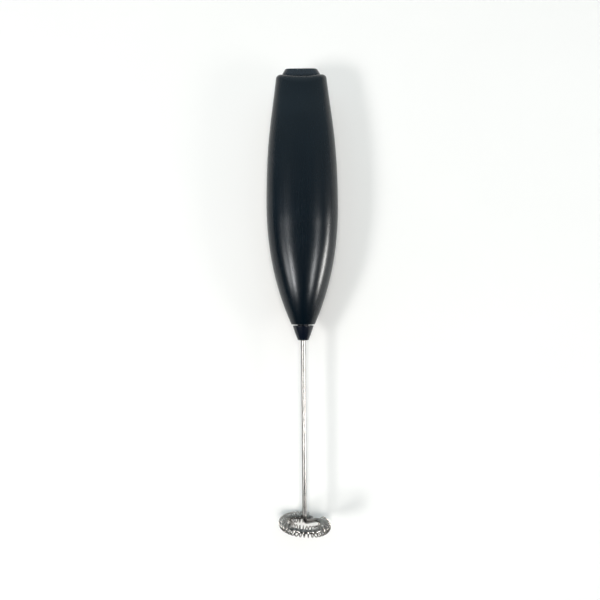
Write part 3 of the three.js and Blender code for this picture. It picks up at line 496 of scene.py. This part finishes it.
def table_top():
    n = Nodes("table_top")
    n.set(Base_Color=n.ramp(n.noise(7, 3), (0.93, 0.925, 0.905), (0.95, 0.945, 0.925)), Roughness=0.65)
    n.shader.inputs["Specular IOR Level"].default_value = 0.2
    n.bump(n.noise(900, 2), 0.05, 0.00002)
    return n.material


BODY_TONES = (0.0003, 0.0036, 0.0072), (0.0006, 0.005, 0.0098)
SHELL = moulded_plastic("shell_plastic", *BODY_TONES, 0.265, specular=0.3)
COVER = moulded_plastic("cover_plastic", *BODY_TONES, 0.27, specular=0.3)
BUTTON_TONES = (0.005, 0.0092, 0.015), (0.0072, 0.012, 0.0195)
BUTTON = moulded_plastic("button_plastic", *BUTTON_TONES, 0.27, specular=0.4)
HUB_TONES = (0.0012, 0.0034, 0.0095), (0.0024, 0.0055, 0.014)
HUB = moulded_plastic("hub_plastic", *HUB_TONES, 0.25, specular=0.4)
# the steels of the whisk are darker than bare steel, to balance the strong lights that show in gloss only
STAINLESS = metal(
    "stainless", (0.165, 0.158, 0.15), (0.195, 0.187, 0.178), 0.22,
    along=(1, 0.004, 1), height=0.0000002, uneven=0.03,
)
COIL_STEEL = metal(
    "coil_steel", (0.28, 0.265, 0.248), (0.43, 0.408, 0.38), 0.13,
    along=(1, 1, 1), scratch_scale=1800, height=0.0000006, uneven=0.03,
)
SPRING_STEEL = metal("spring_steel", (0.4, 0.4, 0.4), (0.55, 0.55, 0.54), 0.3, along=(1, 1, 1))
ZINC = metal("zinc_plate", (0.4, 0.41, 0.43), (0.55, 0.56, 0.58), 0.36, along=(1, 1, 0.2), scratch_scale=700)
CONTACT = metal(
    "contact_nickel", (0.5, 0.47, 0.41), (0.66, 0.63, 0.56), 0.28, along=(0.1, 1, 1), scratch_scale=900
)
COPPER = metal("bare_copper", (0.48, 0.19, 0.09), (0.62, 0.28, 0.15), 0.3, scratch_scale=1200)
BRONZE = cast_block("oil_bronze", (0.26, 0.16, 0.07), (0.42, 0.28, 0.13), 0.45, 1.0)
FERRITE = cast_block("ferrite", (0.02, 0.02, 0.022), (0.05, 0.05, 0.052), 0.7)
WINDING = winding_copper("enamelled_winding")
TRAY = moulded_plastic("tray_plastic", (0.2, 0.215, 0.23), (0.25, 0.265, 0.28), 0.5, grain=2400)
SWITCH = moulded_plastic("switch_plastic", (0.012, 0.012, 0.013), (0.02, 0.02, 0.021), 0.4)
NYLON = moulded_plastic("white_nylon", (0.62, 0.6, 0.52), (0.72, 0.7, 0.62), 0.42)
RED_LEAD = moulded_plastic("red_lead", (0.3, 0.012, 0.01), (0.4, 0.025, 0.018), 0.42)
BLACK_LEAD = moulded_plastic("black_lead", (0.012, 0.012, 0.012), (0.02, 0.02, 0.02), 0.42)

# ---------------------------------------------------------------- shells

HALF_COLUMNS = 96
SIDE_ROWS = 110
SPLIT_ROWS = 10
CAP_ROWS = 8
ROUND_ROWS = 7
HOLE_LIP = 0.25  # how deep the edge of the button's opening starts
HOLE_EDGE_SHARE = 0.012  # how far out that edge ends, as a share of the way to the rim


def seam_angles(front):
    """Section angles over the front or the rear half, ending just short of the seam."""
    edge = SEAM_HALF / (WIDEST_HALF * DEPTH_SHARE)
    angles = np.linspace(edge, math.pi - edge, HALF_COLUMNS)
    return angles if front else angles + math.pi


def split_below(angle, cut):
    """The undomed distance at which the surface reaches a straight cut across the handle."""
    tries = np.linspace(RIM_ROUND, cut + 1, 300)
    mapped = on_handle(angle, tries)[1]
    return float(np.interp(cut, mapped, tries))


def end_rows(angles, from_below):
    """Rows of the surface from a distance below the rim, down the side and in to the neck's hole."""
    rows = []
    stop = HANDLE_LENGTH - END_ROUND
    for i in range(1, SIDE_ROWS + 1):
        rows.append([on_handle(a, b + (stop - b) * i / SIDE_ROWS) for a, b in zip(angles, from_below)])
    for turn in np.linspace(0, math.pi / 2, 5)[1:]:
        below = stop + END_ROUND * math.sin(turn)
        inset = END_ROUND * (1 - math.cos(turn))
        rows.append([on_handle(a, below, inset) for a in angles])
    outer = END_HALF - END_ROUND
    for i in range(1, 4):
        radius = outer + (NECK_HOLE - outer) * i / 3
        rows.append([(radius * math.cos(a), HANDLE_LENGTH, radius * math.sin(a)) for a in angles])
    return rows


def crown_rows(angles):
    """Rows of the domed top, from the button's opening out to the rim and over its rounded edge."""
    rows = []
    hole_x = BUTTON_HALF + BUTTON_GAP
    hole_z = BUTTON_HALF * BUTTON_SHARE + BUTTON_GAP
    out = reach(angles, SECTION_POWER)
    hole = np.array([hole_x * out * np.cos(angles), hole_z * out * np.sin(angles)])
    rim_half = half_width(0) - RIM_ROUND
    rim_deep = half_width(0) * DEPTH_SHARE - RIM_ROUND
    edge = np.array([rim_half * out * np.cos(angles), rim_deep * out * np.sin(angles)])
    rows.append([(x, HOLE_LIP + dome_drop(z, HOLE_LIP), z) for x, z in hole.T])
    for i in range(CAP_ROWS + 1):
        share = HOLE_EDGE_SHARE + (1 - HOLE_EDGE_SHARE) * i / CAP_ROWS
        spots = hole + (edge - hole) * share
        rows.append([(x, dome_drop(z, 0), z) for x, z in spots.T])
    for turn in np.linspace(0, math.pi / 2, ROUND_ROWS)[1:]:
        below = RIM_ROUND * (1 - math.cos(turn))
        inset = RIM_ROUND * (1 - math.sin(turn))
        rows.append([on_handle(a, below, inset) for a in angles])
    return rows


def thicken(made):
    """Gives a surface its wall, inwards, and softens the cut edges."""
    solidify = made.modifiers.new("wall", "SOLIDIFY")
    solidify.thickness = WALL * MM
    solidify.offset = -1
    solidify.use_even_offset = True
    soften_edges(made, 0.14, 50)
    apply_modifiers(made)


def front_shell():
    front, rear = seam_angles(True), seam_angles(False)
    angles = np.concatenate([front, rear])
    rows = crown_rows(angles)
    stops = [split_below(a, COVER_TOP) for a in angles]
    for i in range(1, SPLIT_ROWS + 1):
        at_row = [RIM_ROUND + (b - RIM_ROUND) * i / SPLIT_ROWS for b in stops]
        rows.append([on_handle(a, b) for a, b in zip(angles, at_row)])
    split_row = len(rows) - 1
    rows += end_rows(angles, stops)
    verts = [place(*spot) for row in rows for spot in row]
    columns = len(angles)
    faces = grid_faces(len(rows), columns, True, lambda r, c: r < split_row or c < len(front) - 1)
    made = new_object("front_shell_skin", verts, faces, SHELL, "handle", "shell", ["front_shell"])
    thicken(made)
    return made


def rear_cover():
    angles = seam_angles(False)
    starts = [split_below(a, COVER_TOP + SPLIT_GAP) for a in angles]
    rows = [[on_handle(a, b) for a, b in zip(angles, starts)]]
    rows += end_rows(angles, starts)
    verts = [place(*pry_dent(*spot)) for row in rows for spot in row]
    faces = grid_faces(len(rows), len(angles), False)
    made = new_object("rear_cover_skin", verts, faces, COVER, "cover", "shell", ["rear_cover"])
    thicken(made)
    return made


def pry_dent(x, below, z):
    """The shallow fingernail dent at the cover's lower end."""
    if z >= 0:
        return x, below, z
    near = math.exp(-((x / 2.6) ** 4)) * smoothstep(below, HANDLE_LENGTH - 3.2, HANDLE_LENGTH - 0.6)
    length = math.hypot(x, z)
    deeper = 0.8 * near * smoothstep(length, NECK_HOLE + 0.8, END_HALF - 0.6)
    return x, below, z + deeper


TAB_DEPTH = WALL + 0.25
HOOK_TURN = 0.62  # radians from the middle of the back to a hook's middle
HOOK_HALF = 0.14
HOOK_LENGTH = 5.5
HOOK_ABOVE_SPLIT = 2
TONGUE_LEAN = 0.02
TONGUE_HALF = 0.13
TONGUE_LENGTH = 4
TONGUE_BELOW_MOTOR_BACK = 15.5


def cover_hooks():
    """The two tabs at the cover's top end and the two tongues along its sides."""
    for name, side in (("left", -1), ("right", 1)):
        hook(f"cover_hook_{name}", side)
        tongue(f"cover_tongue_{name}", side)


def curved_tab(name, angles, belows, inset, thick):
    """A small plate that follows the handle's inner wall."""
    verts = []
    for depth in (inset, inset + thick):
        for below in belows:
            verts += [place(*on_handle(a, below, depth)) for a in angles]
    rows, columns = len(belows), len(angles)
    count = rows * columns
    outer = grid_faces(rows, columns, False)
    faces = outer + [tuple(i + count for i in reversed(face)) for face in outer]
    border = list(range(columns))
    border += [r * columns + columns - 1 for r in range(1, rows)]
    border += [(rows - 1) * columns + c for c in range(columns - 2, -1, -1)]
    border += [r * columns for r in range(rows - 2, 0, -1)]
    for here, there in zip(border, border[1:] + border[:1]):
        faces.append((here, there, there + count, here + count))
    made = new_object(name, verts, faces, COVER, "cover", "shell")
    soften_edges(made, 0.15, 50)
    apply_modifiers(made)


def hook(name, side):
    middle = math.pi * 1.5 + side * HOOK_TURN
    angles = np.linspace(middle - HOOK_HALF, middle + HOOK_HALF, 9)
    top = split_below(middle, COVER_TOP - HOOK_ABOVE_SPLIT)
    curved_tab(name, angles, np.linspace(top, top + HOOK_LENGTH, 8), TAB_DEPTH, 1.0)


def tongue(name, side):
    middle = 0.0 if side > 0 else math.pi
    lean = -TONGUE_LEAN * side
    angles = np.linspace(middle - TONGUE_HALF + lean, middle + TONGUE_HALF + lean, 9)
    top = MOTOR_BACK + TONGUE_BELOW_MOTOR_BACK
    curved_tab(name, angles, np.linspace(top, top + TONGUE_LENGTH, 5), TAB_DEPTH, 0.8)


# ---------------------------------------------------------------- button


def button():
    """The bevelled push button, domed from front to back like the rim."""
    top_half = BUTTON_HALF - BUTTON_BEVEL
    inner = BUTTON_HALF - BUTTON_SIDE_WALL
    ceiling = BUTTON_TOP_WALL - BUTTON_RISE
    side = [(0.0, -BUTTON_RISE)]
    side += [(top_half * share, -BUTTON_RISE) for share in (0.25, 0.5, 0.75, 0.92, 1.0)]
    side += [(BUTTON_HALF - BUTTON_SIDE_LEAN, -BUTTON_SIDE_RISE), (BUTTON_HALF, 0.0)]
    side += [(BUTTON_HALF, BUTTON_SKIRT)]
    side += [(inner, BUTTON_SKIRT), (inner, ceiling), (inner * 0.5, ceiling), (0.0, ceiling)]
    profile = rounded(side, 0.2, 5)

    def section(x, below, z):
        angle = math.atan2(z, x)
        out = reach(angle, SECTION_POWER)
        deep = z * out * BUTTON_SHARE
        return x * out, below + float(dome_drop(deep, below)), deep

    return turned(
        "button_skin", profile, BUTTON, "button", 160, section=section, slot="button", replaces=["button_cap"]
    )


# ---------------------------------------------------------------- whisk


def hub():
    top = HANDLE_LENGTH + HUB_GAP
    cone = []
    for i in range(13):
        share = i / 12
        radius = HUB_RADIUS + (HUB_TIP_RADIUS - HUB_RADIUS) * share + HUB_SWELL * math.sin(math.pi * share)
        cone.append((radius, top + share * (HUB_TIP - top - HUB_TIP_LENGTH)))
    neck_end = RIM_Y - hub_high[1]
    profile = [(SHAFT_HOLE, neck_end), (NECK_RADIUS, neck_end), (NECK_RADIUS, top), *cone]
    profile += [(HUB_TIP_RADIUS - 0.12, HUB_TIP - 0.3), (HUB_TIP_RADIUS - 0.7, HUB_TIP), (ROD_HOLE, HUB_TIP)]
    profile += [(ROD_HOLE, HUB_TIP - ROD_HOLE_DEPTH), (SHAFT_HOLE, HUB_TIP - ROD_HOLE_DEPTH - 0.2)]
    return turned(
        "hub_skin", rounded(profile, 0.22, 4), HUB, "whisk", 128, slot="button", replaces=["whisk_hub"]
    )


RING_BELOW = HUB_TIP + ROD_LENGTH


def on_ring(radius, angle, above):
    """A place on the tilted ring, at an angle from +X towards +Z, and a distance above its plane."""
    x = radius * math.cos(angle)
    across = x * math.cos(RING_TILT) + above * math.sin(RING_TILT)
    below = RING_BELOW + x * math.sin(RING_TILT) - above * math.cos(RING_TILT)
    return np.array((across, below, radius * math.sin(angle)))


def corner(start, middle, stop, steps):
    """Points round a smooth corner."""
    t = np.linspace(0, 1, steps + 1)[:, None]
    return list((1 - t) ** 2 * start + 2 * t * (1 - t) * middle + t * t * stop)


def rod():
    bend = BEND_RADIUS / RING_RADIUS
    elbow = np.array((0, RING_BELOW - ARM_RISE, 0))
    before_elbow = elbow - np.array((0, BEND_RADIUS, 0))
    arm_start = on_ring(BEND_RADIUS, ARM_ANGLE, ARM_RISE * 0.8)
    arm_end = on_ring(RING_RADIUS - BEND_RADIUS, ARM_ANGLE, 0.15)
    straight = [np.array((0, b, 0)) for b in np.linspace(HUB_TIP - 6, before_elbow[1] - 0.8, 60)]
    points = straight + corner(before_elbow, elbow, arm_start, 12)
    points += [arm_start + (arm_end - arm_start) * i / 8 for i in range(1, 8)]
    ring_start = on_ring(RING_RADIUS, ARM_ANGLE + bend, 0)
    points += corner(arm_end, on_ring(RING_RADIUS, ARM_ANGLE, 0), ring_start, 10)
    span = 2 * math.pi - bend - RING_GAP
    points += [on_ring(RING_RADIUS, ARM_ANGLE + bend + span * i / 160, 0) for i in range(1, 161)]
    return wire(
        "rod_skin", points, ROD_RADIUS, STAINLESS, "whisk", 28, slot="stainless", replaces=["whisk_rod"]
    )


def coil():
    """Fine wire wound round the ring, a little uneven from turn to turn."""
    steps = 36
    total = COIL_TURNS * steps
    middle = COIL_RADIUS - COIL_WIRE / 2 - COIL_INSET
    bend = BEND_RADIUS / RING_RADIUS
    start = ARM_ANGLE + bend + COIL_START
    span = 2 * math.pi - bend - COIL_GAP
    chance = np.random.default_rng(7)
    along = np.arange(total + 1)
    turn_starts = np.arange(0, total + steps, steps)
    drift = np.interp(along, turn_starts, chance.normal(0, 0.012, COIL_TURNS + 1))
    swell = np.interp(along, turn_starts, chance.normal(0, 0.04, COIL_TURNS + 1))
    points = []
    for i in range(total + 1):
        around = 2 * math.pi * i / steps
        angle = start + span * i / total + drift[i]
        size = middle - abs(swell[i])
        points.append(on_ring(RING_RADIUS + size * math.cos(around), angle, size * math.sin(around)))
    return wire(
        "coil_skin", points, COIL_WIRE / 2, COIL_STEEL, "whisk", 10, slot="stainless", replaces=["whisk_coil"]
    )


# ---------------------------------------------------------------- inside the handle


SPRING_WIRE = 0.5
TURN_STEPS = 32


def coil_spring(node, top_radius, end_radius, turns, material, slot):
    """A contact or return spring in the place of its plain CAD node."""
    low, high = box_mm(node)
    top, end = RIM_Y - high[1] + SPRING_WIRE / 2, RIM_Y - low[1] - SPRING_WIRE / 2
    centre = (low[0] + high[0]) / 2
    steps = turns * TURN_STEPS
    points = []
    for i in range(steps + 1):
        share = i / steps
        radius = top_radius + (end_radius - top_radius) * share - SPRING_WIRE / 2
        angle = 2 * math.pi * i / TURN_STEPS
        x, z = centre + radius * math.cos(angle), radius * math.sin(angle)
        points.append((x, top + (end - top) * share, z))
    name = f"{node}_skin"
    return wire(name, points, SPRING_WIRE / 2, material, "handle", 10, slot=slot, replaces=[node])


def cell(node, way):
    """One AA cell: its can with a wrapped film, seal ring and nub. way is 1 where the nub is on top."""
    low, high = box_mm(node)
    tip = RIM_Y - (high[1] if way > 0 else low[1])
    centre = (low[0] + high[0]) / 2
    radius = (high[0] - low[0]) / 2
    length = high[1] - low[1]
    outline = [(0, 0), (2.7, 0), (2.7, 1.15), (radius - 1.6, 1.2), (radius - 1.5, 0.95), (radius - 0.5, 1.0)]
    outline += [(radius, 1.5), (radius, length - 0.45)]
    outline += [(radius - 0.9, length - 0.1), (radius - 1.1, length - 0.3)]
    outline += [(3.6, length - 0.3), (3.4, length), (0, length)]
    profile = [(r, tip + way * b) for r, b in rounded(outline, 0.25, 4)]
    material = cell_wrap(f"{node}_film", RIM_Y - tip, way)
    name = f"{node}_skin"
    return turned(name, profile, material, "handle", 72, (centre, 0.0), slot="cell", replaces=[node])


PLAIN_NODES = {
    "switch_housing": SWITCH,
    "switch_plunger": NYLON,
    "switch_terminal_left": CONTACT,
    "switch_terminal_right": CONTACT,
    "battery_tray": TRAY,
    "positive_contact": CONTACT,
    "negative_contact": CONTACT,
    "bridge_plate": CONTACT,
    "motor_can": ZINC,
    "motor_end_cap": NYLON,
    "motor_magnet_left": FERRITE,
    "motor_magnet_right": FERRITE,
    "motor_bush_front": BRONZE,
    "motor_bush_rear": BRONZE,
    "motor_brush_left": COPPER,
    "motor_brush_right": COPPER,
    "rotor_core": ZINC,
    "rotor_winding_1": WINDING,
    "rotor_winding_2": WINDING,
    "rotor_winding_3": WINDING,
    "commutator": COPPER,
    "motor_shaft": STAINLESS,
    "motor_strap": ZINC,
    "tray_screw_left": ZINC,
    "tray_screw_right": ZINC,
    "strap_screw_left": ZINC,
    "strap_screw_right": ZINC,
    "battery_switch_lead": RED_LEAD,
    "switch_motor_lead": RED_LEAD,
    "battery_motor_lead": BLACK_LEAD,
}


def finish_inside():
    """Materials and softened edges for the CAD nodes that stay as they are."""
    for name, material in PLAIN_NODES.items():
        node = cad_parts[name]
        for slot in node.material_slots:
            slot.material = material
        soften_edges(node, 0.12, 40)


# ---------------------------------------------------------------- stage, light and camera

VIEW_HEIGHT = 0.315  # camera above the handle's axis
VIEW_WIDTH = 0.300  # width of the view at the axis' height
VIEW_SPOT = (-0.00148, 0.0005)
VIEW_ROLL = math.radians(0.45)
TABLE_SIZE = 6.0
COOL = (0.985, 0.99, 1.0)
WARM = (1.0, 0.985, 0.96)
# name, across, height, width, Y of the two ends, power, colour. The first three light the surfaces
# and don't show in them, and the others show in gloss only.
SURFACE_LIGHTS = (
    ("overhead", 0, 2.2, 0.7, (-0.35, 0.35), 26.2, (1.0, 0.955, 0.925)),
    ("key", -1.08, 1.0, 0.28, (-0.72, -0.2), 9.8, (1.0, 0.985, 0.975)),
    ("fill", 1.5, 0.8, 0.3, (-0.8, -0.1), 4.6, WARM),
)
GLOSS_LIGHTS = (
    ("left_wide", -1.14, 1.0, 0.28, (-0.54, -0.06), 6.6, COOL),
    ("left_narrow", -0.60, 1.0, 0.12, (-0.44, -0.02), 7.8, COOL),
    ("right_narrow", 0.62, 1.0, 0.12, (-0.44, 0.0), 6.2, COOL),
    ("low_right", 1.7, 0.5, 0.22, (-0.62, 0.0), 31.0, WARM),
)


def camera():
    data = bpy.data.cameras.new("camera")
    made = bpy.data.objects.new("camera", data)
    bpy.context.scene.collection.objects.link(made)
    data.sensor_width = 36
    data.lens = data.sensor_width * VIEW_HEIGHT / VIEW_WIDTH
    data.clip_start = 0.01
    made.location = (*VIEW_SPOT, AXIS_Z * MM + VIEW_HEIGHT)
    made.rotation_euler = (0, 0, -VIEW_ROLL)
    bpy.context.scene.camera = made


def area_light(name, across, height, width, ends, power, colour, gloss_only):
    """A rectangular light, parallel to the handle and turned to face its axis. across and height place
    it, and ends holds the Y of its two ends. It shows either in gloss only, or on everything but gloss."""
    data = bpy.data.lights.new(name, "AREA")
    data.shape = "RECTANGLE"
    data.size, data.size_y = width, ends[1] - ends[0]
    data.energy = power
    data.color = colour
    made = bpy.data.objects.new(name, data)
    bpy.context.scene.collection.objects.link(made)
    made.location = (across, sum(ends) / 2, height)
    made.rotation_euler = (0, math.atan2(across, height), 0)
    made.visible_diffuse = not gloss_only
    made.visible_glossy = gloss_only


def surroundings(tree):
    """A dim room, brighter beyond the handle's top end. The camera itself sees a plain pale backdrop."""
    background = tree.nodes["Background"]
    background.inputs["Color"].default_value = (0.76, 0.93, 1.0, 1)
    coords = tree.nodes.new("ShaderNodeTexCoord")
    split = tree.nodes.new("ShaderNodeSeparateXYZ")
    tree.links.new(coords.outputs["Generated"], split.inputs["Vector"])
    rise = tree.nodes.new("ShaderNodeMapRange")
    for key, value in (("From Min", 0.0), ("From Max", 0.55), ("To Min", 0.03), ("To Max", 0.85)):
        rise.inputs[key].default_value = value
    tree.links.new(split.outputs["Y"], rise.inputs["Value"])
    tree.links.new(rise.outputs["Result"], background.inputs["Strength"])
    backdrop = tree.nodes.new("ShaderNodeBackground")
    backdrop.inputs["Color"].default_value = (0.87, 0.88, 0.88, 1)
    seen = tree.nodes.new("ShaderNodeLightPath")
    choose = tree.nodes.new("ShaderNodeMixShader")
    tree.links.new(seen.outputs["Is Camera Ray"], choose.inputs["Fac"])
    tree.links.new(background.outputs["Background"], choose.inputs[1])
    tree.links.new(backdrop.outputs["Background"], choose.inputs[2])
    tree.links.new(choose.outputs["Shader"], tree.nodes["World Output"].inputs["Surface"])


def stage():
    mesh = bpy.data.meshes.new("table")
    half = TABLE_SIZE / 2
    corners = [(-half, -half, 0), (half, -half, 0), (half, half, 0), (-half, half, 0)]
    mesh.from_pydata(corners, [], [(0, 1, 2, 3)])
    mesh.materials.append(table_top())
    floor = bpy.data.objects.new("table", mesh)
    bpy.context.scene.collection.objects.link(floor)
    world = bpy.data.worlds.new("world")
    world.use_nodes = True
    surroundings(world.node_tree)
    bpy.context.scene.world = world
    for light in SURFACE_LIGHTS:
        area_light(*light, gloss_only=False)
    for light in GLOSS_LIGHTS:
        area_light(*light, gloss_only=True)
    settings = bpy.context.scene.view_settings
    settings.view_transform = "Standard"
    settings.look = "None"


# ---------------------------------------------------------------- the model

camera()
stage()
front_shell()
rear_cover()
cover_hooks()
button()
hub()
rod()
coil()
coil_spring("upper_spring", 4.2, 2.6, 3, CONTACT, "contact")
coil_spring("lower_spring", 2.6, 4.2, 3, CONTACT, "contact")
coil_spring("button_spring", 2.7, 2.7, 5, SPRING_STEEL, "spring_steel")
cell("cell_right", 1)
cell("cell_left", -1)
finish_inside()
